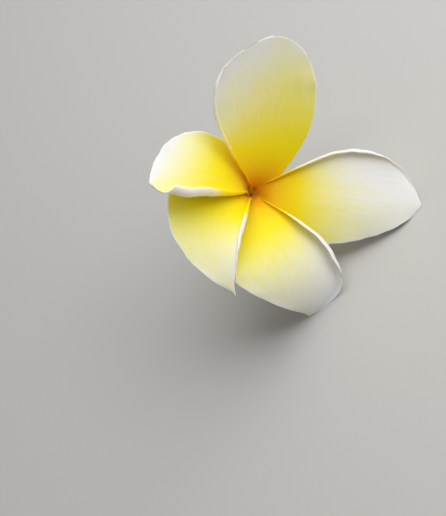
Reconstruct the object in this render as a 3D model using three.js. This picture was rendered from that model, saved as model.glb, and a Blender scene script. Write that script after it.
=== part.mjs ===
import * as THREE from 'three';
import { mergeVertices } from 'three/addons/utils/BufferGeometryUtils.js';

// A plumeria flower picked with its short stalk, lying on a flat surface. Millimetres and degrees.
// Every piece is made in the flower's own frame: the throat is the origin, and +Z runs out of the
// flower along its tube. The whole flower is then spun and tipped over until it lies on the end of
// its stalk and two of its petals.

// How the flower lies: the spin about its tube, the tip from upright, and its place on the surface.
const SPIN = -71;
const TIP = 53.5;
const LIE_AT = new THREE.Vector3(-1.37, 6.64, 19.3);

// The five petals, as seen from the front. Each twists like a propeller blade: its anticlockwise
// margin, the rim, lies over the next petal and is rolled in as a lip. Its other margin is tucked
// under the petal before it. Each sits on its fifth of the tube's mouth and then veers to its own
// direction. Widths run out from the midrib along the surface.
const FIRST_SEAT = 80;
const PETAL = {
  rise: 30,
  sweep: 0,
  lean: 10,
  lip: 3,
  lipFull: 0.35,
  lipFades: 0.6,
  rim: { cup: 5 },
  tuck: { cup: -4 },
};
const PETALS = {
  petal_top: {
    veer: 14.1,
    length: 42.6,
    droop: -8,
    lip: 2,
    rim: { width: 17.5, widest: 0.62, swell: 1.18, point: 0.78 },
    tuck: { width: 15.7, widest: 0.55, swell: 0.95, point: 0.48 },
  },
  petal_right: {
    veer: -18,
    length: 45.3,
    droop: 12,
    rim: { width: 14.5, widest: 0.6, swell: 1.36, point: 0.9 },
    tuck: { width: 14.2, widest: 0.26, swell: 2, point: 0.64, cup: -22 },
  },
  petal_lower_right: {
    veer: 7.1,
    rise: 33,
    sweep: -16.6,
    length: 42,
    droop: 100,
    lean: 4,
    lip: 4.6,
    rim: { width: 11.3, widest: 0.67, swell: 2.35, point: 1.08 },
    tuck: { width: 21.6, widest: 0.44, swell: 2.15, point: 1.15, cup: 8 },
  },
  petal_lower_left: {
    veer: -3.9,
    rise: 38,
    sweep: 69.7,
    length: 38,
    droop: 70,
    lean: 6,
    rim: { width: 4.7, widest: 0.42, swell: 1.8, point: 2.2, cup: 68 },
    tuck: { width: 18.8, widest: 0.43, swell: 1.97, point: 1.3, cup: 6 },
  },
  petal_upper_left: {
    veer: 33.6,
    rise: 29,
    droop: 1,
    sweep: 17.2,
    length: 39.9,
    lean: 8,
    lip: 4.6,
    lipFull: 0.66,
    lipFades: 0.85,
    rim: { width: 9, widest: 0.74, swell: 0.79, point: 0.73, cup: 27 },
    tuck: { width: 14.6, widest: 0.37, swell: 0.95, point: 0.95 },
  },
};

// What the petals share. They leave the tube's mouth steeply as narrow claws, and flare out.
const MOUTH_RADIUS = 1.8;
const STEEP = 76;
const FLARE = 3.4;
const VEER_OVER = 6;
const CLAW_HALF_WIDTH = 0.95;
const CLAW_END = 0.15;
const CURL_REACH = 3;
const CURL_WIDTH = 2.5;
const CUP_OVER = 15;
const LIP_TURN = 170;
const LIP_STARTS = 0.03;
const LIP_AT_TIP = 0.15;
const LIP_OF_WIDTH = 0.6;
const TIP_HALF_WIDTH = 0.3;
const PETAL_THICKNESS = 0.6;
const MARGIN_THICKNESS = 0.36;
const PETAL_ROWS = 18;
const ROW_STEPS = 20;
const ROWS_TO_TIP = 1.35;
const TUCK_COLUMNS = 5;
const BLADE_COLUMNS = 4;
const LIP_COLUMNS = 4;
const COLUMN_STEPS = 12;

// The corolla tube under the petals is open at both ends. GAP parts it from what it meets. The
// waist's height and the foot's height are shares of the tube's length, from its foot up.
const GAP = 0.3;
const TUBE_LENGTH = 19.5;
const TUBE_MOUTH = { inside: 1.5, outside: 2.1 };
const TUBE_WAIST = { inside: 1.25, outside: 1.75, height: 0.65 };
const TUBE_FOOT = { inside: 1.4, outside: 1.9, height: 0.2 };
const TUBE_SIDES = 20;

// The stalk, with the receptacle as its head and a cut end, and five sepals round the tube's foot.
const STALK_LENGTH = 13;
const STALK_BEND = 2;
const STALK_RADIUS = 1.2;
const HEAD_RADIUS = 2;
const HEAD_LENGTH = 0.25;
const STALK_SIDES = 12;
const STALK_ROWS = 8;
const ROWS_TO_HEAD = 1.5;
const SEPAL_LENGTH = 3.8;
const SEPAL_RADIUS = 2.5;
const SEPAL_THICKNESS = 0.45;
const SEPAL_HALF_ANGLE = 30;
const SEPAL_LEAN = 0.1;
const SEPAL_THINNING = 0.4;
const SEPAL_BLUNTNESS = 3;
const SEPAL_TIP_WIDTH = 0.1;
const SEPAL_ROWS = 5;
const SEPAL_COLUMNS = 5;

// In the tube's foot, the ovary with its style and stigma head stands inside a ring of stamens.
// Each is widest up to its shoulder, and an anther and the stigma are widest from their waist too.
const OVARY = { radius: 0.95, height: 1.7, shoulder: 0.5 };
const STYLE = { radius: 0.25, height: 1.3 };
const STIGMA = { radius: 0.4, height: 1, waist: 0.2, shoulder: 0.6 };
const PISTIL_SIDES = 12;
const ANTHER = { radius: 0.22, length: 2.4, waist: 0.2, shoulder: 0.6, ring: 0.82, foot: 2.4 };
const ANTHER_SIDES = 8;

const COUNT = 5;
const TURN = 360 / COUNT;
const WELD = 1e-5;
const { degToRad: radians, smoothstep } = THREE.MathUtils;

const petalSkin = new THREE.MeshStandardMaterial({ color: 0xf7e9a0, roughness: 0.5 });
const tubeSkin = new THREE.MeshStandardMaterial({ color: 0xece6b8, roughness: 0.5 });
const greenSkin = new THREE.MeshStandardMaterial({ color: 0x7d9a45, roughness: 0.55 });
const pistilSkin = new THREE.MeshStandardMaterial({ color: 0xc9d08a, roughness: 0.5 });
const antherSkin = new THREE.MeshStandardMaterial({ color: 0xe8c65a, roughness: 0.7 });

// One closed skin over a row of rings with equal point counts. A ring runs anticlockwise as seen
// from the far end of the row. A strip of quads across the first and the last ring closes each end.
function skin(rings) {
  const count = rings[0].length;
  const last = (rings.length - 1) * count;
  const triangles = [];
  const quad = (a, b, c, d) => triangles.push(a, b, c, a, c, d);
  for (let near = 0; near < last; near += count) {
    for (let i = 0; i < count; i++) {
      const next = (i + 1) % count;
      quad(near + i, near + next, near + count + next, near + count + i);
    }
  }
  for (let i = 0; i < count / 2 - 1; i++) {
    const across = count - 1 - i;
    quad(i, across, across - 1, i + 1);
    quad(last + i, last + i + 1, last + across - 1, last + across);
  }
  const geometry = new THREE.BufferGeometry().setFromPoints(rings.flat());
  geometry.setIndex(triangles);
  geometry.computeVertexNormals();
  return geometry;
}

// A lathe about Z from a profile of [radius, height] points, with its seam welded.
function turned(profile, sides) {
  const points = profile.map(([radius, height]) => new THREE.Vector2(radius, height));
  const lathe = new THREE.LatheGeometry(points, sides).rotateX(Math.PI / 2);
  lathe.deleteAttribute('normal');
  lathe.deleteAttribute('uv');
  const welded = mergeVertices(lathe, WELD);
  welded.computeVertexNormals();
  return welded;
}

// Half the petal's width on one side at u, the fraction of the way from its base to its tip.
function halfWidth(side, u) {
  const claw = CLAW_HALF_WIDTH / side.width;
  if (u < side.widest) {
    const opening = Math.sin((u / side.widest) * (Math.PI / 2)) ** side.swell;
    return side.width * (claw + (1 - claw) * opening * smoothstep(u, 0, CLAW_END));
  }
  const past = (u - side.widest) / (1 - side.widest);
  return Math.max(TIP_HALF_WIDTH, side.width * (1 - Math.min(1, past ** 2)) ** side.point);
}

// How much of its full lip the rim carries at u: the lip grows out of the throat and fades later.
function lipShare(petal, u) {
  const fading = (1 - LIP_AT_TIP) * smoothstep(u, petal.lipFades, 1);
  return smoothstep(u, LIP_STARTS, petal.lipFull + LIP_STARTS) * (1 - fading);
}

// The mid-surface points and normals out from the midrib over one side of the petal. The rim side
// goes to +across and rolls in at its lip, and the tuck side goes to -across.
function sideOf(petal, station, isRim) {
  const { u, at, across, up } = station;
  const side = isRim ? petal.rim : petal.tuck;
  const sign = isRim ? 1 : -1;
  const width = halfWidth(side, u);
  const share = isRim ? lipShare(petal, u) : 0;
  const lip = Math.min(petal.lip * share, LIP_OF_WIDTH * width);
  const blade = width - lip;
  const curl = Math.exp((-u * petal.length) / CURL_REACH) / MOUTH_RADIUS;
  const headingAt = (out) => {
    const rolled = lip > 0 ? Math.max(0, out - blade) / lip : 0;
    const bend = side.cup * (out / CUP_OVER) + LIP_TURN * share * rolled;
    return radians(sign * petal.lean + bend) + curl * CURL_WIDTH * (1 - Math.exp(-out / CURL_WIDTH));
  };
  const bladeColumns = isRim ? BLADE_COLUMNS : TUCK_COLUMNS;
  const stops = [];
  for (let i = 0; i <= bladeColumns; i++) stops.push((blade * i) / bladeColumns);
  for (let i = 1; isRim && i <= LIP_COLUMNS; i++) stops.push(blade + (lip * i) / LIP_COLUMNS);
  const point = at.clone();
  let out = 0;
  return stops.map((stop) => {
    const step = (stop - out) / COLUMN_STEPS;
    for (let i = 0; i < COLUMN_STEPS; i++) {
      const heading = headingAt(out + step / 2);
      point.addScaledVector(across, sign * Math.cos(heading) * step);
      point.addScaledVector(up, Math.sin(heading) * step);
      out += step;
    }
    const heading = headingAt(stop);
    const normal = up.clone().multiplyScalar(Math.cos(heading));
    normal.addScaledVector(across, -sign * Math.sin(heading));
    return { point: point.clone(), normal, margin: stop / width };
  });
}

// Stations along the midrib. Each has its place, the direction across the petal towards the rim,
// and the direction up out of the petal's face.
function midrib(petal) {
  const stations = [];
  const at = new THREE.Vector3(MOUTH_RADIUS, 0, 0);
  let along = 0;
  for (let row = 0; row <= PETAL_ROWS; row++) {
    const u = 1 - (1 - row / PETAL_ROWS) ** ROWS_TO_TIP;
    const step = (u * petal.length - along) / ROW_STEPS;
    const climbAt = (s) => {
      const flaring = (STEEP - petal.rise) * Math.exp(-s / FLARE);
      return radians(petal.rise + flaring - petal.droop * (s / petal.length) ** 2);
    };
    const headingAt = (s) => {
      return radians(petal.veer * smoothstep(s, 0, VEER_OVER) + (petal.sweep * s) / petal.length);
    };
    const forwardAt = (s) => {
      const level = Math.cos(climbAt(s));
      const turn = headingAt(s);
      return new THREE.Vector3(level * Math.cos(turn), level * Math.sin(turn), Math.sin(climbAt(s)));
    };
    for (let i = 0; i < ROW_STEPS; i++) {
      at.addScaledVector(forwardAt(along + step / 2), step);
      along += step;
    }
    const turn = headingAt(along);
    const across = new THREE.Vector3(-Math.sin(turn), Math.cos(turn), 0);
    const up = new THREE.Vector3().crossVectors(forwardAt(along), across);
    stations.push({ u, at: at.clone(), across, up });
  }
  return stations;
}

// One petal growing out along +X: its mid-surface thickened to both sides, thinner at the margins.
function petalGeometry(petal) {
  const rings = midrib(petal).map((station) => {
    const tuck = sideOf(petal, station, false).slice(1).reverse();
    const middle = [...tuck, ...sideOf(petal, station, true)];
    const shifted = (sign) => middle.map(({ point, normal, margin }) => {
      const thickness = PETAL_THICKNESS + (MARGIN_THICKNESS - PETAL_THICKNESS) * margin ** 2;
      return point.clone().addScaledVector(normal, (sign * thickness) / 2);
    });
    return [...shifted(-1), ...shifted(1).reverse()];
  });
  return skin(rings);
}

// One sepal: a rounded lobe that hugs the tube's foot and leans a little outwards.
function sepalGeometry() {
  const rings = [];
  for (let row = 0; row <= SEPAL_ROWS; row++) {
    const u = Math.sin((row / SEPAL_ROWS) * (Math.PI / 2));
    const share = Math.max(SEPAL_TIP_WIDTH, Math.sqrt(1 - u ** SEPAL_BLUNTNESS));
    const half = radians(SEPAL_HALF_ANGLE) * share;
    const middle = SEPAL_RADIUS + SEPAL_LEAN * u ** 2;
    const arc = (radius) => {
      const points = [];
      for (let i = 0; i <= SEPAL_COLUMNS; i++) {
        const angle = half * ((2 * i) / SEPAL_COLUMNS - 1);
        points.push(new THREE.Vector3(radius * Math.cos(angle), radius * Math.sin(angle), SEPAL_LENGTH * u));
      }
      return points;
    };
    const thickness = SEPAL_THICKNESS * (1 - SEPAL_THINNING * u);
    rings.push([...arc(middle + thickness / 2), ...arc(middle - thickness / 2).reverse()]);
  }
  return skin(rings);
}

// The stalk runs down from the receptacle along a slight bend, and ends in a flat cut.
function stalkGeometry() {
  const bend = new THREE.Vector3(0, 0, -STALK_LENGTH / 2);
  const end = new THREE.Vector3(-STALK_BEND, 0, -STALK_LENGTH);
  const path = new THREE.QuadraticBezierCurve3(new THREE.Vector3(), bend, end);
  const rings = [];
  for (let row = STALK_ROWS; row >= 0; row--) {
    const u = (row / STALK_ROWS) ** ROWS_TO_HEAD;
    const along = path.getPoint(u);
    const direction = path.getTangent(u);
    const side = new THREE.Vector3(0, 1, 0);
    const front = new THREE.Vector3().crossVectors(side, direction);
    const radius = STALK_RADIUS + (HEAD_RADIUS - STALK_RADIUS) * Math.exp(-u / HEAD_LENGTH);
    const ring = [];
    for (let i = 0; i < STALK_SIDES; i++) {
      const angle = (i / STALK_SIDES) * 2 * Math.PI;
      const point = along.clone().addScaledVector(front, -radius * Math.cos(angle));
      ring.push(point.addScaledVector(side, radius * Math.sin(angle)));
    }
    rings.push(ring);
  }
  return skin(rings);
}

const flower = new THREE.Group();

function add(name, geometry, material) {
  const mesh = new THREE.Mesh(geometry, material);
  mesh.name = name;
  flower.add(mesh);
  return mesh;
}

for (const [i, [name, own]] of Object.entries(PETALS).entries()) {
  const petal = { ...PETAL, ...own };
  petal.rim = { ...PETAL.rim, ...own.rim };
  petal.tuck = { ...PETAL.tuck, ...own.tuck };
  add(name, petalGeometry(petal), petalSkin).rotation.z = radians(FIRST_SEAT - i * TURN);
}

const tubeFoot = -GAP - TUBE_LENGTH;
const waistHeight = tubeFoot + TUBE_LENGTH * TUBE_WAIST.height;
const footHeight = tubeFoot + TUBE_LENGTH * TUBE_FOOT.height;
const tubeProfile = [
  [TUBE_MOUTH.inside, -GAP],
  [TUBE_WAIST.inside, waistHeight],
  [TUBE_FOOT.inside, footHeight],
  [TUBE_FOOT.inside, tubeFoot],
  [TUBE_FOOT.outside, tubeFoot],
  [TUBE_FOOT.outside, footHeight],
  [TUBE_WAIST.outside, waistHeight],
  [TUBE_MOUTH.outside, -GAP],
  [TUBE_MOUTH.inside, -GAP],
];
add('corolla_tube', turned(tubeProfile, TUBE_SIDES), tubeSkin);

const headTop = tubeFoot - GAP;
add('stalk', stalkGeometry(), greenSkin).position.z = headTop;
for (let i = 0; i < COUNT; i++) {
  const sepal = add(`sepal_${i + 1}`, sepalGeometry(), greenSkin);
  sepal.position.z = headTop;
  sepal.rotation.z = radians(i * TURN);
}

const styleFoot = OVARY.height;
const stigmaFoot = styleFoot + STYLE.height;
const pistilProfile = [
  [0, 0],
  [OVARY.radius, 0],
  [OVARY.radius, OVARY.height * OVARY.shoulder],
  [STYLE.radius, styleFoot],
  [STYLE.radius, stigmaFoot],
  [STIGMA.radius, stigmaFoot + STIGMA.height * STIGMA.waist],
  [STIGMA.radius, stigmaFoot + STIGMA.height * STIGMA.shoulder],
  [0, stigmaFoot + STIGMA.height],
];
add('pistil', turned(pistilProfile, PISTIL_SIDES), pistilSkin).position.z = tubeFoot;

const antherProfile = [
  [0, 0],
  [ANTHER.radius, ANTHER.length * ANTHER.waist],
  [ANTHER.radius, ANTHER.length * ANTHER.shoulder],
  [0, ANTHER.length],
];
for (let i = 0; i < COUNT; i++) {
  const angle = radians((i + 0.5) * TURN);
  const stamen = add(`stamen_${i + 1}`, turned(antherProfile, ANTHER_SIDES), antherSkin);
  stamen.position.set(ANTHER.ring * Math.cos(angle), ANTHER.ring * Math.sin(angle), tubeFoot + ANTHER.foot);
}

// Lay the flower down: spin it about its tube, tip it over towards -Y, and set it on the surface.
flower.rotation.set(radians(TIP), 0, radians(SPIN), 'XYZ');
flower.position.copy(LIE_AT);
const plumeria = new THREE.Group();
plumeria.add(flower);

export default plumeria;
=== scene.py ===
import math

import bpy
import numpy as np
from mathutils import Matrix, Vector


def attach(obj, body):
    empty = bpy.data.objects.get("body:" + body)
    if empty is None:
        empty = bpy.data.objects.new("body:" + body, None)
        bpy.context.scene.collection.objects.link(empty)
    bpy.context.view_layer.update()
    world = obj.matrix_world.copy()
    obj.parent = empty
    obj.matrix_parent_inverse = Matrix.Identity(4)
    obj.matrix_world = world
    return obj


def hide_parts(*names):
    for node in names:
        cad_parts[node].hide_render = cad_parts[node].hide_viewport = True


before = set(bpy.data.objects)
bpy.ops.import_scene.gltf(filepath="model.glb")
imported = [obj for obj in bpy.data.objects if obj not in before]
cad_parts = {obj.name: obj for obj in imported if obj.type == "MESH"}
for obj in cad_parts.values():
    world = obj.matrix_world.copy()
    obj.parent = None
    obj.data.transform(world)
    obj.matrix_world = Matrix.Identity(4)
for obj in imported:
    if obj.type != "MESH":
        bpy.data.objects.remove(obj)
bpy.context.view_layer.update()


# The stalk carries the flower. It is a green shoot, slightly bent, that widens into the receptacle,
# the seat of the flower, and it ends in the pale face where it was cut. Lengths in this file are
# millimetres in the flower's own frame: the throat is the origin and +Z runs out of the flower.
MM = 0.001
SPIN = -71
TIP = 53.5
THROAT_AT = (-1.37, 6.64, 19.3)
GAP = 0.3
TUBE_LENGTH = 19.5
STALK_LENGTH = 13
STALK_BEND = 2
STALK_RADIUS = 1.2
HEAD_RADIUS = 2
HEAD_LENGTH = 0.25
HEAD_RISE = 0.35
STALK_SIDES = 64
STALK_ROWS = 110
ROWS_TO_HEAD = 1.3
RIDGES = 5
RIDGE_DEPTH = 0.05
RIDGE_TWIST = 4
RIDGE_WAVES = 8
WAVES_START = 3
CUT_EDGE = 0.14
CUT_HOLLOW = 0.12
CUT_RINGS = (0.03, 0.25, 0.5, 0.7, 0.84, 0.94)
CUT_RIM_MARK = 0.2
CUT_STARTS = 0.12
PITH_STARTS = 0.6
BLUSH_ENDS = 0.45
BLUSH_FULL = 0.1
FLESH_TINT = (1.0, 0.8, 0.4)
FLESH_DEPTH = 1.0
FLESH_IOR = 1.42
ROUGHNESS_SPREAD = 0.08
PATCH_SIZE = 2
PATCH_DETAIL = 4
CELL_SIZE = 0.4
CELL_RELIEF = 0.05
MOTTLE = (0.3, 0.7)
STALK_GREEN = (118, 138, 58)
STALK_DARK = (84, 104, 40)
STALK_BLUSH = (134, 112, 66)
CUT_WOOD = (196, 200, 140)
CUT_PITH = (226, 224, 186)

tube_foot = -GAP - TUBE_LENGTH
stalk_top = tube_foot - GAP
# Turned about its own axis and tipped over, the flower rests on its stalk and on two petals.
lay_down = (
    Matrix.Translation(Vector(THROAT_AT) * MM)
    @ Matrix.Rotation(math.radians(TIP), 4, "X")
    @ Matrix.Rotation(math.radians(SPIN), 4, "Z")
    @ Matrix.Scale(MM, 4)
)


def linear(shade):
    """A colour of 0 to 255 steps as the renderer's own RGBA."""
    steps = [value / 255 for value in shade]
    return tuple(v / 12.92 if v <= 0.04045 else ((v + 0.055) / 1.055) ** 2.4 for v in steps) + (1.0,)


def smooth_step(x, low, high):
    """0 at low and 1 at high, with a smooth rise between them and level beyond. Either may be the
    greater."""
    t = np.clip((np.asarray(x, dtype=float) - low) / (high - low), 0, 1)
    return t * t * (3 - 2 * t)


def ring_around(sides):
    """The cosines and sines of a full circle's points."""
    angle = np.linspace(0, 2 * math.pi, sides, endpoint=False)
    return np.cos(angle), np.sin(angle)


def skin(name, rings, marks, looped=False):
    """A mesh over rows of rings, laid down with the flower. Rings run anticlockwise as seen from the
    far end. A looped skin joins its last ring to its first, and any other closes both ends. marks
    holds named surface values, one for each point."""
    rows, count = rings.shape[:2]
    faces = []
    for row in range(rows if looped else rows - 1):
        near = row * count
        far = (row + 1) % rows * count
        for i in range(count):
            after = (i + 1) % count
            faces.append((near + i, near + after, far + after, far + i))
    last = (rows - 1) * count
    for i in range(0 if looped else count // 2 - 1):
        across = count - 1 - i
        faces.append((i, across, across - 1, i + 1))
        faces.append((last + i, last + i + 1, last + across - 1, last + across))
    mesh = bpy.data.meshes.new(name)
    mesh.from_pydata(rings.reshape(-1, 3).tolist(), [], faces)
    mesh.transform(lay_down)
    for key, values in marks.items():
        spread = np.broadcast_to(values, rings.shape[:2]).astype(np.float32)
        layer = mesh.attributes.new(key, "FLOAT", "POINT")
        layer.data.foreach_set("value", spread.ravel())
    mesh.polygons.foreach_set("use_smooth", [True] * len(mesh.polygons))
    mesh.update()
    return mesh


def add_piece(name, mesh, material, slot, *nodes):
    """Puts a finished mesh in the scene in place of the frame's nodes that it stands for."""
    piece = bpy.data.objects.new(name, mesh)
    bpy.context.scene.collection.objects.link(piece)
    mesh.materials.append(material)
    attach(piece, "root")
    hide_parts(*nodes)


def feed(links, socket, term):
    """Sets a socket from another node's output, from a shade of 0 to 255 steps, or from a number."""
    if isinstance(term, bpy.types.NodeSocket):
        links.new(term, socket)
    elif isinstance(term, tuple) and socket.type == "RGBA":
        socket.default_value = linear(term)
    else:
        socket.default_value = term


def mark(tree, key):
    """A named surface value, as the mesh carries it."""
    reader = tree.nodes.new("ShaderNodeAttribute")
    reader.attribute_name = key
    return reader.outputs["Fac"]


def math_step(tree, operation, *terms):
    """One step of arithmetic between numbers and other nodes' outputs."""
    step = tree.nodes.new("ShaderNodeMath")
    step.operation = operation
    for socket, term in zip(step.inputs, terms):
        feed(tree.links, socket, term)
    return step.outputs[0]


def rise_between(tree, value, low, high):
    """The nodes for a smooth step: 0 where the value is low, and 1 where it is high."""
    step = tree.nodes.new("ShaderNodeMapRange")
    step.interpolation_type = "SMOOTHSTEP"
    for socket, term in zip(step.inputs, (value, low, high)):
        feed(tree.links, socket, term)
    return step.outputs[0]


def blend_shades(tree, share, first, second):
    """The first shade where the share is 0 and the second where it is 1."""
    step = tree.nodes.new("ShaderNodeMix")
    step.data_type = "RGBA"
    feed(tree.links, step.inputs["Factor"], share)
    ends = [socket for socket in step.inputs if socket.type == "RGBA"]
    feed(tree.links, ends[0], first)
    feed(tree.links, ends[1], second)
    return next(socket for socket in step.outputs if socket.type == "RGBA")


def shades_along(tree, place, stops):
    """Shades that follow one another as the place goes from 0 to 1."""
    step = tree.nodes.new("ShaderNodeValToRGB")
    elements = step.color_ramp.elements
    while len(elements) < len(stops):
        elements.new(1.0)
    for element, (position, shade) in zip(elements, stops):
        element.position = position
        element.color = linear(shade)
    feed(tree.links, step.inputs[0], place)
    return step.outputs[0]


def plant_tissue_group():
    """The living surface that every part has: soft mottling in patches, and fine cells."""
    group = bpy.data.node_groups.new("plant_tissue", "ShaderNodeTree")
    for label, size in (("Patch Size", PATCH_SIZE), ("Cell Size", CELL_SIZE)):
        socket = group.interface.new_socket(label, in_out="INPUT", socket_type="NodeSocketFloat")
        socket.default_value = size * MM
    for label in ("Patches", "Cells"):
        group.interface.new_socket(label, in_out="OUTPUT", socket_type="NodeSocketFloat")
    given = group.nodes.new("NodeGroupInput")
    result = group.nodes.new("NodeGroupOutput")
    place = group.nodes.new("ShaderNodeTexCoord").outputs["Object"]
    patches = group.nodes.new("ShaderNodeTexNoise")
    patches.inputs["Detail"].default_value = PATCH_DETAIL
    cells = group.nodes.new("ShaderNodeTexVoronoi")
    for texture, size in ((patches, "Patch Size"), (cells, "Cell Size")):
        group.links.new(place, texture.inputs["Vector"])
        group.links.new(math_step(group, "DIVIDE", 1.0, given.outputs[size]), texture.inputs["Scale"])
    group.links.new(patches.outputs["Fac"], result.inputs["Patches"])
    group.links.new(cells.outputs["Distance"], result.inputs["Cells"])
    return group


plant_tissue = plant_tissue_group()


def plant_material(name, roughness, flesh, relief, patch_size=PATCH_SIZE):
    """A material for living tissue, with its plant tissue and the sockets for its colour and height.
    flesh is how much light passes under the skin, and relief is the height of what feeds the bump."""
    material = bpy.data.materials.new(name)
    material.use_nodes = True
    tree = material.node_tree
    shader = tree.nodes["Principled BSDF"]
    shader.inputs["Subsurface Weight"].default_value = flesh
    shader.inputs["Subsurface Radius"].default_value = FLESH_TINT
    shader.inputs["Subsurface Scale"].default_value = FLESH_DEPTH * MM
    shader.inputs["IOR"].default_value = FLESH_IOR
    tissue = tree.nodes.new("ShaderNodeGroup")
    tissue.node_tree = plant_tissue
    tissue.inputs["Patch Size"].default_value = patch_size * MM
    spread = tree.nodes.new("ShaderNodeMapRange")
    spread.inputs["To Min"].default_value = roughness - ROUGHNESS_SPREAD
    spread.inputs["To Max"].default_value = roughness + ROUGHNESS_SPREAD
    tree.links.new(tissue.outputs["Patches"], spread.inputs["Value"])
    tree.links.new(spread.outputs["Result"], shader.inputs["Roughness"])
    bump = tree.nodes.new("ShaderNodeBump")
    bump.inputs["Distance"].default_value = relief * MM
    tree.links.new(bump.outputs["Normal"], shader.inputs["Normal"])
    return material, tissue, shader.inputs["Base Color"], bump.inputs["Height"]


def stalk_material():
    material, tissue, colour, height = plant_material(
        "stalk_green", roughness=0.46, flesh=0.08, relief=CELL_RELIEF, patch_size=1.4
    )
    tree = material.node_tree
    patches = rise_between(tree, tissue.outputs["Patches"], *MOTTLE)
    green = blend_shades(tree, patches, STALK_DARK, STALK_GREEN)
    blush = math_step(tree, "MULTIPLY", mark(tree, "blush"), patches)
    blushed = blend_shades(tree, blush, green, STALK_BLUSH)
    cut = shades_along(tree, mark(tree, "cut"), ((PITH_STARTS, CUT_WOOD), (1, CUT_PITH)))
    face = rise_between(tree, mark(tree, "cut"), 0, CUT_STARTS)
    feed(tree.links, colour, blend_shades(tree, face, blushed, cut))
    feed(tree.links, height, tissue.outputs["Cells"])
    return material


def stalk_rings():
    """Rings from the middle of the cut face out, then up the stalk to the top of the receptacle."""
    u = (1 - np.linspace(0, 1, STALK_ROWS)) ** ROWS_TO_HEAD
    from_cut = np.clip((1 - u) * STALK_LENGTH / CUT_EDGE, 0, 1)
    radius = STALK_RADIUS + (HEAD_RADIUS - STALK_RADIUS) * np.exp(-u / HEAD_LENGTH)
    radius = radius - CUT_EDGE * (1 - np.sqrt(1 - (1 - from_cut) ** 2))
    face = np.array(CUT_RINGS)
    radius = np.concatenate([face * radius[0], radius, face[::-1] * radius[-1]])
    sunk = np.concatenate([CUT_HOLLOW * (1 - face**2), 0 * u, HEAD_RISE * (1 - face[::-1] ** 2)])
    cut = np.concatenate([1 - face * (1 - CUT_RIM_MARK), 0 * u, 0 * face])
    u = np.concatenate([0 * face + 1, u, 0 * face])
    blush = smooth_step(u, BLUSH_ENDS, BLUSH_FULL)
    place = np.stack([-STALK_BEND * u**2, 0 * u, sunk - STALK_LENGTH * u + stalk_top], 1)
    slope = np.stack([-2 * STALK_BEND * u, 0 * u, 0 * u - STALK_LENGTH], 1)
    slope /= np.linalg.norm(slope, axis=1, keepdims=True)
    side = np.array([0.0, 1.0, 0.0])
    front = np.cross(side, slope)
    cosine, sine = ring_around(STALK_SIDES)
    angle = np.arctan2(sine, cosine)
    waves = np.sin(WAVES_START + RIDGE_WAVES * u[:, None])
    ridges = RIDGE_DEPTH * np.sin(RIDGES * angle + RIDGE_TWIST * u[:, None]) * waves
    around = radius[:, None] * (1 + ridges / STALK_RADIUS)
    rings = place[:, None] - front[:, None] * (around * cosine)[..., None] + side * (around * sine)[..., None]
    return rings, {"cut": cut[:, None], "blush": blush[:, None]}


add_piece("flower_stalk", skin("flower_stalk", *stalk_rings()), stalk_material(), "stalk", "stalk")


# Five sepals make the calyx, small green lobes that grow from the receptacle and hug the foot of
# the tube. Each is a thick rounded scale with a thin margin.
PARTS_AROUND = 5
TURN = 360 / PARTS_AROUND
SEPAL_LENGTH = 3.8
SEPAL_RADIUS = 2.35
SEPAL_THICKNESS = 0.5
SEPAL_HALF_ANGLE = 33
SEPAL_LEAN = 0.08
SEPAL_THINNING = 0.35
SEPAL_SUNK = 0.2
SEPAL_ROWS = 40
SEPAL_COLUMNS = 28
SEPAL_FOOT = 0.5
FOOT_SHARE = 0.25
OUTLINE_POWER = 3.4
MARGIN_POWER = 4
TIP_POWER = 6
LEAST_OUTLINE = 0.0004
LEAST_FULLNESS = 0.01
SEPAL_GREEN = (132, 152, 62)
SEPAL_TIP = (160, 164, 84)


def turned(rings, angle):
    """Rings turned about the flower's axis by an angle in degrees."""
    c = math.cos(math.radians(angle))
    s = math.sin(math.radians(angle))
    return rings @ np.array([[c, s, 0], [-s, c, 0], [0, 0, 1]])


def rounded_off(x, power, least=0.0):
    """1 where x is 0, falling to nothing where it is 1 or -1. A higher power stays full for longer."""
    return np.sqrt(np.clip(1 - x**power, least, 1))


def sepal_material():
    material, tissue, colour, height = plant_material(
        "sepal_green", roughness=0.42, flesh=0.1, relief=CELL_RELIEF, patch_size=1
    )
    tree = material.node_tree
    patches = rise_between(tree, tissue.outputs["Patches"], *MOTTLE)
    green = blend_shades(tree, patches, STALK_DARK, SEPAL_GREEN)
    feed(tree.links, colour, blend_shades(tree, mark(tree, "along"), green, SEPAL_TIP))
    feed(tree.links, height, tissue.outputs["Cells"])
    return material


def sepal_rings():
    """Rings from the foot of one sepal to its rounded tip. Each runs out over the back of the scale
    and returns over its inner face."""
    u = np.sin(np.linspace(0, 1, SEPAL_ROWS) * math.pi / 2)[:, None]
    v = np.sin(np.linspace(-1, 1, SEPAL_COLUMNS) * math.pi / 2)[None]
    angle = math.radians(SEPAL_HALF_ANGLE) * rounded_off(u, OUTLINE_POWER, LEAST_OUTLINE) * v
    fullness = rounded_off(v, MARGIN_POWER, LEAST_FULLNESS) * rounded_off(u, TIP_POWER, LEAST_FULLNESS)
    half = SEPAL_THICKNESS / 2 * fullness * (1 - SEPAL_THINNING * u)
    middle = SEPAL_RADIUS + SEPAL_LEAN * u**2 - SEPAL_FOOT * (1 - smooth_step(u, 0, FOOT_SHARE))
    height = SEPAL_LENGTH * u + stalk_top - SEPAL_SUNK
    radius = np.concatenate([middle + half, (middle - half)[:, ::-1]], 1)
    bearing = np.concatenate([angle, angle[:, ::-1]], 1)
    rings = np.stack([radius * np.cos(bearing), radius * np.sin(bearing), height + 0 * bearing], 2)
    return rings, {"along": u}


calyx_green = sepal_material()
rings, marks = sepal_rings()
for i in range(PARTS_AROUND):
    name = f"calyx_sepal_{i + 1}"
    add_piece(name, skin(name, turned(rings, i * TURN), marks), calyx_green, "sepal", f"sepal_{i + 1}")


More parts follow.
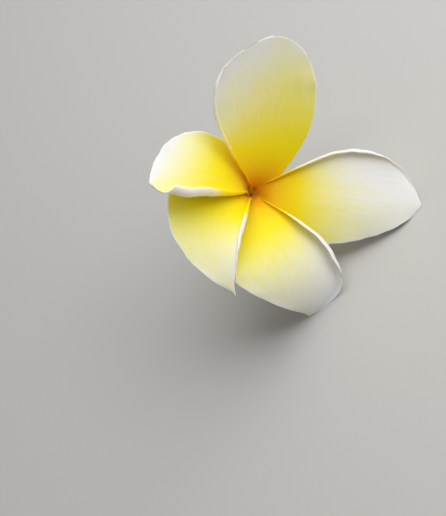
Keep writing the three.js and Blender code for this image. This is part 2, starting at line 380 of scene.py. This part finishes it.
# The pistil stands on the receptacle inside the foot of the tube: a round ovary, a short style and
# a knobbed stigma head that is sticky and pale.
OVARY = {"radius": 0.95, "height": 1.7}
STYLE = {"radius": 0.22, "height": 1.3}
STIGMA = {"radius": 0.4, "height": 1.0}
OVARY_SHOULDER = 0.15
OVARY_FOOT = (-0.05, 0.25)
OVARY_CLEFT = {"depth": 0.1, "width": 0.2}
STYLE_POWER = 12
STIGMA_LOBES = 5
LOBE_DEPTH = 0.07
LEAST_RADIUS = 0.01
PISTIL_ROWS = 90
PISTIL_SIDES = 40
PISTIL_MOTTLE = (0.2, 0.8)
PISTIL_MOTTLING = 0.4
STIGMA_STARTS = 0.6
STIGMA_FULL = 0.8
PISTIL_GREEN = (186, 196, 118)
STIGMA_CREAM = (228, 222, 160)


def lathe_rings(radii, heights, sides):
    """Round rings about the flower's axis, one for each radius and height."""
    cosine, sine = ring_around(sides)
    radii = np.asarray(radii)[:, None]
    return np.stack([radii * cosine, radii * sine, np.asarray(heights)[:, None] + 0 * cosine], 2)


def groove(rings, width):
    """1 down the +X and -X sides of some rings, falling to 0 away from them."""
    angle = np.arctan2(rings[..., 1], rings[..., 0])
    return np.exp(-((np.sin(angle) / width) ** 2))


def pistil_material():
    material, tissue, colour, height = plant_material("pistil_flesh", roughness=0.38, flesh=0.15, relief=0.03)
    tree = material.node_tree
    stops = ((STIGMA_STARTS, PISTIL_GREEN), (STIGMA_FULL, STIGMA_CREAM))
    shade = shades_along(tree, mark(tree, "along"), stops)
    patches = rise_between(tree, tissue.outputs["Patches"], *PISTIL_MOTTLE)
    mottling = math_step(tree, "MULTIPLY", patches, PISTIL_MOTTLING)
    feed(tree.links, colour, blend_shades(tree, mottling, shade, STALK_GREEN))
    feed(tree.links, height, tissue.outputs["Cells"])
    return material


def pistil_rings():
    """Rings up the pistil. The ovary is cleft in two, and the stigma has five soft lobes."""
    whole = OVARY["height"] + STYLE["height"] + STIGMA["height"]
    z = whole * (1 - np.cos(np.linspace(0, 1, PISTIL_ROWS) * math.pi)) / 2
    past_shoulder = (z / OVARY["height"] - OVARY_SHOULDER).clip(0) / (1 - OVARY_SHOULDER)
    dome = OVARY["radius"] * rounded_off(past_shoulder, 2)
    from_stigma = (z - OVARY["height"] - STYLE["height"]) / STIGMA["height"]
    knob = STIGMA["radius"] * rounded_off(2 * from_stigma - 1, 2)
    style = STYLE["radius"] * rounded_off(z / whole, STYLE_POWER)
    radius = np.maximum(np.maximum(dome, style) * smooth_step(z, *OVARY_FOOT), knob)
    rings = lathe_rings(np.maximum(radius, LEAST_RADIUS), z + tube_foot, PISTIL_SIDES)
    angle = np.arctan2(rings[..., 1], rings[..., 0])
    lobes = 1 + LOBE_DEPTH * np.cos(STIGMA_LOBES * angle) * (from_stigma > 0)[:, None]
    cleft = 1 - OVARY_CLEFT["depth"] * groove(rings, OVARY_CLEFT["width"]) * (from_stigma < 0)[:, None]
    rings[..., :2] *= (lobes * cleft)[..., None]
    return rings, {"along": (z / whole)[:, None]}


add_piece("flower_pistil", skin("flower_pistil", *pistil_rings()), pistil_material(), "pistil", "pistil")


# Five stamens stand round the pistil, turned half a step from the sepals and held by short
# filaments by the wall of the tube. Each anther is two pollen sacs side by side, with a pointed tip.
ANTHER_RADIUS = 0.24
ANTHER_LENGTH = 2.4
ANTHER_RING = 0.82
ANTHER_FOOT = 2.4
ANTHER_BIAS = 0.7
ANTHER_FULLNESS = 0.6
ANTHER_CLEFT = {"depth": 0.4, "width": 0.25}
FILAMENT_RADIUS = 0.08
FILAMENT_SHARE = 0.22
FILAMENT_ENDS = 0.9
ANTHER_ROWS = 60
ANTHER_SIDES = 32
POLLEN_STARTS = 0.2
POLLEN_FULL = 0.3
GRAIN_SHARE = 0.4
POLLEN_YELLOW = (226, 190, 84)
FILAMENT_CREAM = (232, 226, 178)


def stamen_material():
    material, tissue, colour, height = plant_material("pollen_yellow", roughness=0.6, flesh=0.1, relief=0.04)
    tree = material.node_tree
    stops = ((POLLEN_STARTS, FILAMENT_CREAM), (POLLEN_FULL, POLLEN_YELLOW))
    shade = shades_along(tree, mark(tree, "along"), stops)
    grains = math_step(tree, "MULTIPLY", rise_between(tree, tissue.outputs["Patches"], *MOTTLE), GRAIN_SHARE)
    feed(tree.links, colour, blend_shades(tree, grains, shade, FILAMENT_CREAM))
    feed(tree.links, height, tissue.outputs["Cells"])
    return material


def stamen_rings():
    """Rings up one stamen, which stands on the X side of the pistil."""
    u = np.linspace(0, 1, ANTHER_ROWS)
    sac = np.clip((u - FILAMENT_SHARE) / (1 - FILAMENT_SHARE), 0, 1)
    swelling = np.sin(math.pi * sac**ANTHER_BIAS) ** ANTHER_FULLNESS
    radius = np.maximum(FILAMENT_RADIUS * (u < FILAMENT_ENDS), ANTHER_RADIUS * swelling)
    height = ANTHER_LENGTH * u + tube_foot + ANTHER_FOOT
    rings = lathe_rings(np.maximum(radius, LEAST_RADIUS), height, ANTHER_SIDES)
    cleft = 1 - ANTHER_CLEFT["depth"] * groove(rings, ANTHER_CLEFT["width"]) * swelling[:, None]
    rings[..., :2] *= cleft[..., None]
    rings[..., 0] += ANTHER_RING
    return rings, {"along": u[:, None]}


pollen_yellow = stamen_material()
rings, marks = stamen_rings()
for i in range(PARTS_AROUND):
    name = f"flower_stamen_{i + 1}"
    mesh = skin(name, turned(rings, (i + 0.5) * TURN), marks)
    add_piece(name, mesh, pollen_yellow, "anther", f"stamen_{i + 1}")


# The corolla tube is the slim hollow neck that the petals open from. Its waxy wall is pale outside
# and deep yellow inside, with faint lines down it, and it widens at the foot round the stamens.
TUBE_PROFILE = {
    "height": (-19.8, -17.8, -15.9, -12.0, -7.1, -3.0, -0.8, 0.0, 0.6),
    "outside": (1.82, 1.92, 1.9, 1.82, 1.75, 1.88, 2.06, 2.24, 2.5),
    "inside": (1.4, 1.42, 1.4, 1.32, 1.25, 1.4, 1.8, 2.12, 2.42),
}
TUBE_ROWS = 140
TUBE_SIDES = 80
TUBE_RIDGES = 0.035
TUBE_TWIST = 4
SMOOTHING_PASSES = 3
SMOOTHING_ROWS = 9
TUBE_MOTTLE = (0.25, 0.75)
TUBE_MOTTLING = 0.35
CREAM_FULL = 0.3
TUBE_CREAM = (226, 226, 176)
TUBE_GREEN = (184, 196, 120)
TUBE_WHITE = (236, 234, 210)
TUBE_INSIDE = (206, 150, 30)


def tube_material():
    material, tissue, colour, height = plant_material(
        "tube_cream", roughness=0.42, flesh=0.2, relief=CELL_RELIEF
    )
    tree = material.node_tree
    stops = ((0, TUBE_GREEN), (CREAM_FULL, TUBE_CREAM), (1, TUBE_WHITE))
    outside = shades_along(tree, mark(tree, "along"), stops)
    patches = rise_between(tree, tissue.outputs["Patches"], *TUBE_MOTTLE)
    mottled = blend_shades(tree, math_step(tree, "MULTIPLY", patches, TUBE_MOTTLING), outside, TUBE_GREEN)
    feed(tree.links, colour, blend_shades(tree, mark(tree, "inside"), mottled, TUBE_INSIDE))
    feed(tree.links, height, tissue.outputs["Cells"])
    return material


def soft_curve(places, heights, values):
    """A smooth curve near a few values, read at more places between them."""
    level = np.interp(places, heights, values)
    window = np.ones(SMOOTHING_ROWS) / SMOOTHING_ROWS
    for _ in range(SMOOTHING_PASSES):
        level = np.convolve(np.pad(level, SMOOTHING_ROWS // 2, mode="edge"), window, mode="valid")
    return level


def tube_rings():
    """Rings up the outside of the tube, over its mouth, and down its inside."""
    low, high = TUBE_PROFILE["height"][0], TUBE_PROFILE["height"][-1]
    z = np.linspace(low, high, TUBE_ROWS)
    outside = soft_curve(z, TUBE_PROFILE["height"], TUBE_PROFILE["outside"])
    inside = soft_curve(z, TUBE_PROFILE["height"], TUBE_PROFILE["inside"])
    radius = np.concatenate([outside, inside[::-1]])
    height = np.concatenate([z, z[::-1]])
    is_inside = np.concatenate([0 * z, 0 * z + 1])
    rings = lathe_rings(radius, height, TUBE_SIDES)
    angle = np.arctan2(rings[..., 1], rings[..., 0]) + math.radians(TUBE_TWIST) * height[:, None]
    ridges = TUBE_RIDGES * np.cos(PARTS_AROUND * angle) * (1 - is_inside)[:, None]
    rings[..., :2] *= (1 + ridges / radius[:, None])[..., None]
    along = (height - low) / (high - low)
    return rings, {"along": along[:, None], "inside": is_inside[:, None]}


tube_mesh = skin("flower_tube", *tube_rings(), looped=True)
add_piece("flower_tube", tube_mesh, tube_material(), "tube", "corolla_tube")


# The five petals are thick and waxy, and each twists like a propeller blade. Its anticlockwise margin,
# the rim, lies over the next petal and is rolled in as a lip that shows the pale back. Its other
# margin, the tuck, goes under the petal before it. Widths run along the surface from the midrib.
FIRST_SEAT = 80
# Angles are in degrees. The midrib leaves the mouth steeply and flares out to its rise, turns by its
# veer and sweep, and bends down by its droop. lean and cup turn the blade about the midrib. swell and
# point shape a side before and after its widest place. Places along the petal are shares of its length.
PETAL = {
    "rise": 30,
    "sweep": 0,
    "lean": 10,
    "lip": 3,
    "lip_full": 0.35,
    "lip_fades": 0.6,
    "flush": {"slant": 0, "skew": 0.8, "tip": 0},
    "rim": {"cup": 5},
    "tuck": {"cup": -4},
}
PETALS = {
    "petal_top": {
        "veer": 14.1,
        "length": 42.6,
        "droop": -8,
        "lip": 2,
        "flush": {"reach": 0.25, "fading": 2.6, "tip": 0.5},
        "rim": {"width": 17.5, "widest": 0.62, "swell": 1.18, "point": 0.78},
        "tuck": {"width": 15.7, "widest": 0.55, "swell": 0.95, "point": 0.48},
    },
    "petal_right": {
        "veer": -18,
        "length": 45.3,
        "droop": 12,
        "flush": {"reach": 0.23, "fading": 4.6},
        "rim": {"width": 14.5, "widest": 0.6, "swell": 1.36, "point": 0.9},
        "tuck": {"width": 14.2, "widest": 0.26, "swell": 2, "point": 0.64, "cup": -22},
    },
    "petal_lower_right": {
        "veer": 7.1,
        "rise": 33,
        "sweep": -16.6,
        "length": 42,
        "droop": 100,
        "lean": 4,
        "lip": 4.6,
        "flush": {"reach": 0.3, "fading": 4.6},
        "rim": {"width": 11.3, "widest": 0.67, "swell": 2.35, "point": 1.08},
        "tuck": {"width": 21.6, "widest": 0.44, "swell": 2.15, "point": 1.15, "cup": 8},
    },
    "petal_lower_left": {
        "veer": -3.9,
        "rise": 38,
        "sweep": 69.7,
        "length": 38,
        "droop": 70,
        "lean": 6,
        "flush": {"reach": 0.37, "fading": 4.2},
        "rim": {"width": 4.7, "widest": 0.42, "swell": 1.8, "point": 2.2, "cup": 68},
        "tuck": {"width": 18.8, "widest": 0.43, "swell": 1.97, "point": 1.3, "cup": 6},
    },
    "petal_upper_left": {
        "veer": 33.6,
        "rise": 29,
        "droop": 1,
        "sweep": 17.2,
        "length": 39.9,
        "lean": 8,
        "lip": 4.6,
        "lip_full": 0.66,
        "lip_fades": 0.85,
        "flush": {"reach": 0.3, "fading": 2.2, "slant": 0.13, "skew": -0.6},
        "rim": {"width": 9, "widest": 0.74, "swell": 0.79, "point": 0.73, "cup": 27},
        "tuck": {"width": 14.6, "widest": 0.37, "swell": 0.95, "point": 0.95},
    },
}
# The claw is the narrow base of the petal, curled into a part of the tube's mouth.
MOUTH_RADIUS = 1.8
STEEP = 76
FLARE = 3.4
VEER_OVER = 6
CLAW_DEPTH = 2.0
CLAW_LEVELS = 0.8
CLAW_FLATTENING = 0.8
RIM_CLAW = 1.3
TUCK_CLAW = 1.9
CLAW_END = 0.08
CLAW_LEAN = 14
CLAW_KEPT_TO = 0.5
CLAW_SPREAD = 2
CLAW_THICKNESS = 0.65
CLAW_THIN_TO = 0.15
CURL_REACH = 3
CURL_WIDTH = 2.5
CUP_OVER = 15
# The lip, and the shape of the margins.
LIP_TURN = 170
LIP_STARTS = 0.03
LIP_BEAD = 0.9
BEAD_TURNS_BY = 0.12
LIP_AT_TIP = 0.15
LIP_OF_WIDTH = 0.6
SCALLOP_DEPTH = 0.07
SCALLOP_SPANS = (0.72, 1.3)
SCALLOPS_RISE = (0.3, 0.6)
SCALLOPS_FALL = (0.9, 1)
SECOND_WAVE = 0.6
TIP_ROUNDING = 0.35
LEAST_WIDTH = 0.01
NO_WIDTH = 1e-6
BLADE_THICKNESS = 0.42
EDGE_THICKNESS = 0.26
EDGE_ROUNDING = 0.22
LEAST_ROUNDING = 0.02
# The mesh.
RIB_STEPS = 4001
PETAL_ROWS = 150
ROWS_TO_TIP = 1.35
TUCK_COLUMNS = 34
BLADE_COLUMNS = 26
LIP_COLUMNS = 22
LEAST_LIP = 0.15
COLUMNS_TO_EDGE = 1.5
FINE_STEPS = 6
LEAST_SHARE = 1e-3
# Waves that ruffle the free margins, and faint veins that fan out over the blade.
WAVE_HEIGHT = 0.2
WAVE_SPANS = (2.1, 1.13)
WAVES_RISE = (0.3, 0.7)
WAVES_TO_MARGIN = 3
WAVE_OF_PETAL = 1.7
WAVE_OF_SIDE = 2
VEIN_HEIGHT = 0.01
VEINS = 60
VEIN_SLANT = 0.9
VEIN_WANDER = 2.5
WANDER_ACROSS = 9
WANDER_ALONG = 5
VEINS_RISE = (0.25, 0.5)
VEINS_FULL_WIDTH = 12
# The yellow flush, the streaks in it, the throat with painted shade deepening its pit, and the margins with a
# painted highlight along their thin edges.
FLUSHED_BACK_ACROSS = (0.4, 0.7)
FLUSHED_BACK_STARTS = (0.01, 0.06)
FLUSHED_BACK_ENDS = (-0.05, 0.15)
FLUSH_SOFTNESS = 0.06
FADES_TO_MARGIN = 0.7
TIP_FADE = (0.7, 1)
WAX_SHINE = 0.25
STREAK_STRETCH = {"across": 11, "along": 2.2, "order": 7.3}
STREAK_SCALE = 1.6
STREAK_DETAIL = 5
STREAK_MIDDLE = 0.5
STREAKS_IN_FLUSH = 0.26
STREAKS_IN_THROAT = 0.05
THROAT_OFFSET = 0.05
THROAT_ENDS = (0.2, 0.36)
# The band along the margin that gets the painted highlight, and the flush over which that highlight comes in.
HIGHLIGHT_BAND = (0.6, 0.1)
HIGHLIGHT_GROWS = (0.2, 0.6)
AGED_BAND = (0.2, 0.04)
AGED_PATCHES = (0.5, 0.62)
AGED_ALONG = (0.6, 0.8)
# Colours by depth into the throat: the flower's own orange, darkened towards the pit at depth 0, partly with
# painted shade.
THROAT_SHADES = (
    (0.0, (186, 128, 24)),
    (0.035, (216, 152, 20)),
    (0.06, (232, 160, 16)),
    (0.12, (232, 170, 10)),
    (0.18, (240, 192, 6)),
    (0.27, (250, 212, 4)),
    (0.37, (254, 222, 8)),
)
FLUSH_SHADES = (
    (0.0, (254, 222, 6)),
    (0.16, (253, 224, 22)),
    (0.28, (251, 226, 58)),
    (0.42, (249, 229, 98)),
    (0.56, (247, 232, 138)),
    (0.7, (245, 236, 176)),
    (0.84, (243, 238, 210)),
    (0.96, (241, 239, 234)),
)
BACK_SHADES = (
    (0.0, (216, 214, 132)),
    (0.16, (232, 226, 160)),
    (0.4, (238, 234, 206)),
    (0.7, (238, 234, 228)),
    (1.0, (236, 230, 228)),
)
# The brighter white along the thin margins is a painted highlight, standing in for light caught on the edge.
EDGE_HIGHLIGHT = (250, 248, 244)
MARGIN_BROWN = (170, 128, 92)


def side_widths(side, claw, u, length):
    """Half the petal's width on one side at u, the share of the way from the mouth to its tip."""
    claw = claw / side["width"]
    opening = np.sin(np.clip(u / side["widest"], 0, 1) * math.pi / 2) ** side["swell"]
    inner = claw + (1 - claw) * opening * smooth_step(u, 0, CLAW_END)
    past = np.clip((u - side["widest"]) / (1 - side["widest"]), 0, 1)
    outer = (1 - past**2) ** side["point"]
    to_tip = np.clip((1 - u) * length / TIP_ROUNDING, 0, 1)
    tip = TIP_ROUNDING * np.sqrt(1 - (1 - to_tip) ** 2)
    return np.maximum(side["width"] * np.where(u < side["widest"], inner, outer), tip + LEAST_WIDTH)


def lip_along(petal, u):
    """The width of the lip, and how much of its full roll it makes. It starts in the throat as a fine
    bead, widens, and fades towards the tip."""
    kept = 1 - (1 - LIP_AT_TIP) * smooth_step(u, petal["lip_fades"], 1)
    grown = smooth_step(u, LIP_STARTS, petal["lip_full"] + LIP_STARTS)
    width = (LIP_BEAD + (petal["lip"] - LIP_BEAD) * grown) * kept
    return width, smooth_step(u, LIP_STARTS, BEAD_TURNS_BY) * kept


def midrib(petal, u):
    """The places along the midrib, with the directions across the petal and up out of its face."""
    s = np.linspace(-CLAW_DEPTH, petal["length"], RIB_STEPS)
    past = np.maximum(s, 0)
    climb = petal["rise"] + (STEEP - petal["rise"]) * np.exp(-past / FLARE)
    climb = climb - petal["droop"] * (past / petal["length"]) ** 2
    climb = np.radians(climb * (1 - CLAW_FLATTENING * smooth_step(s, CLAW_LEVELS, -CLAW_DEPTH)))
    turn = np.radians(petal["veer"] * smooth_step(s, 0, VEER_OVER) + petal["sweep"] * past / petal["length"])
    forward = np.stack([np.cos(climb) * np.cos(turn), np.cos(climb) * np.sin(turn), np.sin(climb)], 1)
    steps = (forward[1:] + forward[:-1]) / 2 * (s[1] - s[0])
    path = np.concatenate([np.zeros((1, 3)), np.cumsum(steps, 0)])
    path += (MOUTH_RADIUS, 0, 0) - path[np.searchsorted(s, 0)]
    across = np.stack([-np.sin(turn), np.cos(turn), 0 * turn], 1)
    up = np.cross(forward, across)

    def at_rows(values):
        return np.stack([np.interp(u * petal["length"], s, values[:, k]) for k in range(3)], 1)

    return at_rows(path), at_rows(across), at_rows(up)


def two_waves(s, spans, first_phase, second_phase):
    """A wave along s, and a weaker one of another length over it."""
    first, second = spans
    return np.sin(s / first + first_phase) + SECOND_WAVE * np.sin(s / second + second_phase)


def petal_side(petal, u, ribs, is_rim):
    """One half of the petal's middle surface, from the midrib out. It gives points, normals, shares of
    the width, distances to the margin, and how far each point is rolled over into the lip."""
    at, across, up = ribs
    side = petal["rim"] if is_rim else petal["tuck"]
    sign = 1 if is_rim else -1
    narrowing = np.minimum(at[:, :1] / MOUTH_RADIUS, 1)
    claw = RIM_CLAW if is_rim else TUCK_CLAW
    width = side_widths(side, claw, u, petal["length"])[:, None] * narrowing
    if not is_rim:
        claw_width = np.minimum(claw * at[:, :1] / MOUTH_RADIUS, CLAW_SPREAD * claw)
        width = np.maximum(width, claw_width * (u < CLAW_KEPT_TO)[:, None])
    lip, turned_over = (part[:, None] * is_rim for part in lip_along(petal, u))
    lip = np.minimum(lip, LIP_OF_WIDTH * width)
    s = u[:, None] * petal["length"]
    scallops = two_waves(s, SCALLOP_SPANS, petal["veer"], side["width"])
    scalloped = smooth_step(u, *SCALLOPS_RISE) * (1 - smooth_step(u, *SCALLOPS_FALL))
    width = width - SCALLOP_DEPTH * scallops * scalloped[:, None]
    curl = np.exp(-np.maximum(s, 0) / CURL_REACH) / (MOUTH_RADIUS * narrowing)
    lean = CLAW_LEAN + (petal["lean"] - CLAW_LEAN) * smooth_step(s, 0, VEER_OVER)

    def rolled_at(out):
        return np.clip((out - (width - lip)) / np.maximum(lip, NO_WIDTH), 0, 1) * turned_over

    def heading(out):
        bend = sign * lean + side["cup"] * out / CUP_OVER + LIP_TURN * rolled_at(out)
        return np.radians(bend) + curl * CURL_WIDTH * (1 - np.exp(-out / CURL_WIDTH))

    if is_rim:
        zone = np.maximum(lip, LEAST_LIP * width)
        inner = np.arange(BLADE_COLUMNS) / BLADE_COLUMNS * (width - zone)
        outer = width - zone * (1 - np.arange(LIP_COLUMNS + 1) / LIP_COLUMNS) ** COLUMNS_TO_EDGE
        stops = np.concatenate([inner, outer], 1)
    else:
        stops = width * (1 - (1 - np.arange(TUCK_COLUMNS + 1) / TUCK_COLUMNS) ** COLUMNS_TO_EDGE)
    step = np.repeat(np.diff(stops, axis=1) / FINE_STEPS, FINE_STEPS, axis=1)
    middle = np.cumsum(step, axis=1) - step / 2
    bent = heading(middle)
    ways = sign * np.cos(bent)[..., None] * across[:, None] + np.sin(bent)[..., None] * up[:, None]
    points = np.cumsum(ways * step[..., None], axis=1)[:, FINE_STEPS - 1 :: FINE_STEPS]
    points = np.concatenate([np.zeros_like(points[:, :1]), points], 1) + at[:, None]
    bent = heading(stops)
    normals = np.cos(bent)[..., None] * up[:, None] - sign * np.sin(bent)[..., None] * across[:, None]
    return points, normals, sign * stops / width, width - stops, rolled_at(stops)


def petal_mesh(name, petal, seat, order):
    """One petal, grown out along +X and then turned to its seat on the tube's mouth."""
    base = -CLAW_DEPTH / petal["length"]
    u = 1 - (1 - base) * (1 - np.linspace(0, 1, PETAL_ROWS)) ** ROWS_TO_TIP
    ribs = midrib(petal, u)
    tuck = [part[:, :0:-1] for part in petal_side(petal, u, ribs, False)]
    rim = petal_side(petal, u, ribs, True)
    points, normals, across, to_side, rolled = (np.concatenate(pair, 1) for pair in zip(tuck, rim))
    width = to_side / np.maximum(1 - np.abs(across), LEAST_SHARE)
    rows = u[:, None] + 0 * across
    to_edge = np.minimum(to_side, (1 - rows) * petal["length"])
    s = rows * petal["length"]

    free = smooth_step(rows, *WAVES_RISE) * np.abs(across) ** WAVES_TO_MARGIN * (1 - rolled)
    phase = WAVE_OF_PETAL * order + WAVE_OF_SIDE * (across > 0)
    waves = two_waves(s, WAVE_SPANS, phase, 2 * phase)
    wander = VEIN_WANDER * np.sin(WANDER_ACROSS * across + WANDER_ALONG * rows)
    veins = np.cos(VEINS * (np.abs(across) - VEIN_SLANT * rows) + wander)
    veins = veins * smooth_step(rows, *VEINS_RISE) * np.clip(width / VEINS_FULL_WIDTH, 0, 1)
    lift = WAVE_HEIGHT * waves * free + VEIN_HEIGHT * veins
    points = points + normals * lift[..., None]

    body = EDGE_THICKNESS + (BLADE_THICKNESS - EDGE_THICKNESS) * (1 - across**2)
    body = body * (CLAW_THICKNESS + (1 - CLAW_THICKNESS) * smooth_step(rows, 0, CLAW_THIN_TO))
    body = body * np.minimum(ribs[0][:, :1] / MOUTH_RADIUS, 1)
    rounded = np.sqrt(1 - (1 - np.clip(to_edge / EDGE_ROUNDING, LEAST_ROUNDING, 1)) ** 2)
    half = (body * rounded / 2)[..., None] * normals
    rings = np.concatenate([points - half, (points + half)[:, ::-1]], 1)

    def both(under, over):
        return np.concatenate([under + 0 * rows, (over + 0 * rows)[:, ::-1]], 1)

    # The flush mark is 0 where the face is deep yellow, and nears 1 where it is white. The back of
    # the lip is flushed too, as far as the face is.
    flush = petal["flush"]
    past = rows - flush["reach"] - flush["slant"] * across
    flushed_back = smooth_step(across, *FLUSHED_BACK_ACROSS) * smooth_step(rows, *FLUSHED_BACK_STARTS)
    flushed_back = flushed_back * (1 - smooth_step(past, *FLUSHED_BACK_ENDS))
    past = (past + np.hypot(past, FLUSH_SOFTNESS)) / 2
    faster = 1 + flush["skew"] * across + FADES_TO_MARGIN * across**2
    white = 1 - np.exp(-past * flush["fading"] * faster)
    white = white + (1 - white) * flush["tip"] * smooth_step(rows, *TIP_FADE)
    marks = {
        "along": both(rows, rows),
        "across": both(across, across),
        "edge": both(to_edge, to_edge),
        "front": both(flushed_back, 1),
        "flush": both(white, white),
        "order": both(order, order),
    }
    return skin(name, turned(rings, seat), marks)


def petal_material():
    material, tissue, colour, height = plant_material(
        "petal_wax", roughness=0.5, flesh=0.6, relief=0.025, patch_size=5
    )
    tree = material.node_tree
    tree.nodes["Principled BSDF"].inputs["Specular IOR Level"].default_value = WAX_SHINE
    place = tree.nodes.new("ShaderNodeCombineXYZ")
    for socket, (key, stretch) in zip(place.inputs, STREAK_STRETCH.items()):
        feed(tree.links, socket, math_step(tree, "MULTIPLY", mark(tree, key), stretch))
    streaks = tree.nodes.new("ShaderNodeTexNoise")
    streaks.inputs["Scale"].default_value = STREAK_SCALE
    streaks.inputs["Detail"].default_value = STREAK_DETAIL
    tree.links.new(place.outputs["Vector"], streaks.inputs["Vector"])
    streak = math_step(tree, "SUBTRACT", streaks.outputs["Fac"], STREAK_MIDDLE)

    along = mark(tree, "along")
    flush = math_step(tree, "MULTIPLY_ADD", streak, STREAKS_IN_FLUSH, mark(tree, "flush"))
    pale = shades_along(tree, flush, FLUSH_SHADES)
    depth = math_step(tree, "ADD", along, THROAT_OFFSET)
    depth = math_step(tree, "MULTIPLY_ADD", streak, STREAKS_IN_THROAT, depth)
    # The throat's orange, with painted shade darkening it towards the pit.
    throat = shades_along(tree, depth, THROAT_SHADES)
    face = blend_shades(tree, rise_between(tree, along, *THROAT_ENDS), throat, pale)
    back = shades_along(tree, along, BACK_SHADES)
    skin_shade = blend_shades(tree, mark(tree, "front"), back, face)

    def where_both(first, second):
        return math_step(tree, "MULTIPLY", first, second)

    edge = mark(tree, "edge")
    # Painted highlight: a narrow band along the margins is painted a brighter white wherever the face has
    # already gone white.
    whitened = rise_between(tree, mark(tree, "flush"), *HIGHLIGHT_GROWS)
    margin = where_both(rise_between(tree, edge, *HIGHLIGHT_BAND), whitened)
    highlighted = blend_shades(tree, margin, skin_shade, EDGE_HIGHLIGHT)
    patches = rise_between(tree, tissue.outputs["Patches"], *AGED_PATCHES)
    outermost = rise_between(tree, edge, *AGED_BAND)
    near_tip = rise_between(tree, along, *AGED_ALONG)
    aged = where_both(where_both(outermost, patches), near_tip)
    feed(tree.links, colour, blend_shades(tree, aged, highlighted, MARGIN_BROWN))
    feed(tree.links, height, streaks.outputs["Fac"])
    return material


petal_wax = petal_material()
for i, (node, own) in enumerate(PETALS.items()):
    petal = {**PETAL, **own}
    for part in ("flush", "rim", "tuck"):
        petal[part] = {**PETAL[part], **own[part]}
    name = f"waxy_{node}"
    add_piece(name, petal_mesh(name, petal, FIRST_SEAT - i * TURN, i), petal_wax, "petal", node)


# The flower lies on a plain pale floor. The camera looks a little off its axis and from far enough
# to keep the petals in true proportion.
FLOOR_RADIUS = 12000
FLOOR_SIDES = 96
FLOOR_SHADE = (196, 195, 191)
GRAIN_SHADE = (199, 198, 194)
GRAIN_SCALE = 40
PAPER_ROUGHNESS = 0.9
VIEW_TILT = 24
VIEW_TURN = 45
VIEW_DISTANCE = 500
AIM_LEFT = 7.84
AIM_BELOW = 17.3
LENS = 129.07


def floor_material():
    material = bpy.data.materials.new("floor_paper")
    material.use_nodes = True
    tree = material.node_tree
    shader = tree.nodes["Principled BSDF"]
    shader.inputs["Roughness"].default_value = PAPER_ROUGHNESS
    grain = tree.nodes.new("ShaderNodeTexNoise")
    grain.inputs["Scale"].default_value = GRAIN_SCALE
    shade = blend_shades(tree, grain.outputs["Fac"], FLOOR_SHADE, GRAIN_SHADE)
    feed(tree.links, shader.inputs["Base Color"], shade)
    return material


def floor_mesh():
    cosine, sine = ring_around(FLOOR_SIDES)
    points = [(FLOOR_RADIUS * MM * x, FLOOR_RADIUS * MM * y, 0) for x, y in zip(cosine, sine)]
    mesh = bpy.data.meshes.new("floor")
    mesh.from_pydata(points, [], [tuple(range(len(points)))])
    return mesh


floor = bpy.data.objects.new("floor", floor_mesh())
floor.data.materials.append(floor_material())
bpy.context.scene.collection.objects.link(floor)

tilt = math.radians(VIEW_TILT)
turn = math.radians(VIEW_TURN)
axis = Vector((math.sin(tilt) * math.cos(turn), math.sin(tilt) * math.sin(turn), math.cos(tilt)))
level = (Vector((1, 0, 0)) - axis * axis.x).normalized()
view = Matrix((level, axis.cross(level), axis)).transposed()
to_world = lay_down.to_3x3().normalized() @ view.transposed()
right, up, back = (to_world.col[k].normalized() for k in range(3))
throat = Vector(THROAT_AT) * MM


def stand(thing, place, target, above):
    """Puts a camera or a light at its place and turns it to its target."""
    far = (place - target).normalized()
    side = above.cross(far).normalized()
    turned_to = Matrix((side, far.cross(side), far)).transposed().to_4x4()
    thing.matrix_world = Matrix.Translation(place) @ turned_to
    bpy.context.scene.collection.objects.link(thing)


camera = bpy.data.objects.new("camera", bpy.data.cameras.new("camera"))
camera.data.lens = LENS
stand(camera, throat + back * VIEW_DISTANCE * MM, throat - (right * AIM_LEFT + up * AIM_BELOW) * MM, up)
bpy.context.scene.camera = camera


# Plain studio light: a broad key from above, a weaker one up to the right, and an even surround
# that fills the shadows. A way is in the camera's own directions.
LIGHT_DISTANCE = 600
LIGHTS = {
    "key": {"way": (-0.08, 0.87, 0.48), "size": 800, "power": 5},
    "side": {"way": (0.55, 0.45, 0.7), "size": 400, "power": 0.8},
}
SURROUND = 0.18

for name, light in LIGHTS.items():
    lamp = bpy.data.lights.new(name, "AREA")
    lamp.size = light["size"] * MM
    lamp.energy = light["power"]
    x, y, z = light["way"]
    way = (right * x + up * y + back * z).normalized()
    stand(bpy.data.objects.new(name, lamp), throat + way * LIGHT_DISTANCE * MM, throat, up)

world = bpy.data.worlds.new("surround")
world.use_nodes = True
world.node_tree.nodes["Background"].inputs["Color"].default_value = (1, 1, 1, 1)
world.node_tree.nodes["Background"].inputs["Strength"].default_value = SURROUND
bpy.context.scene.world = world
bpy.context.scene.view_settings.view_transform = "Standard"
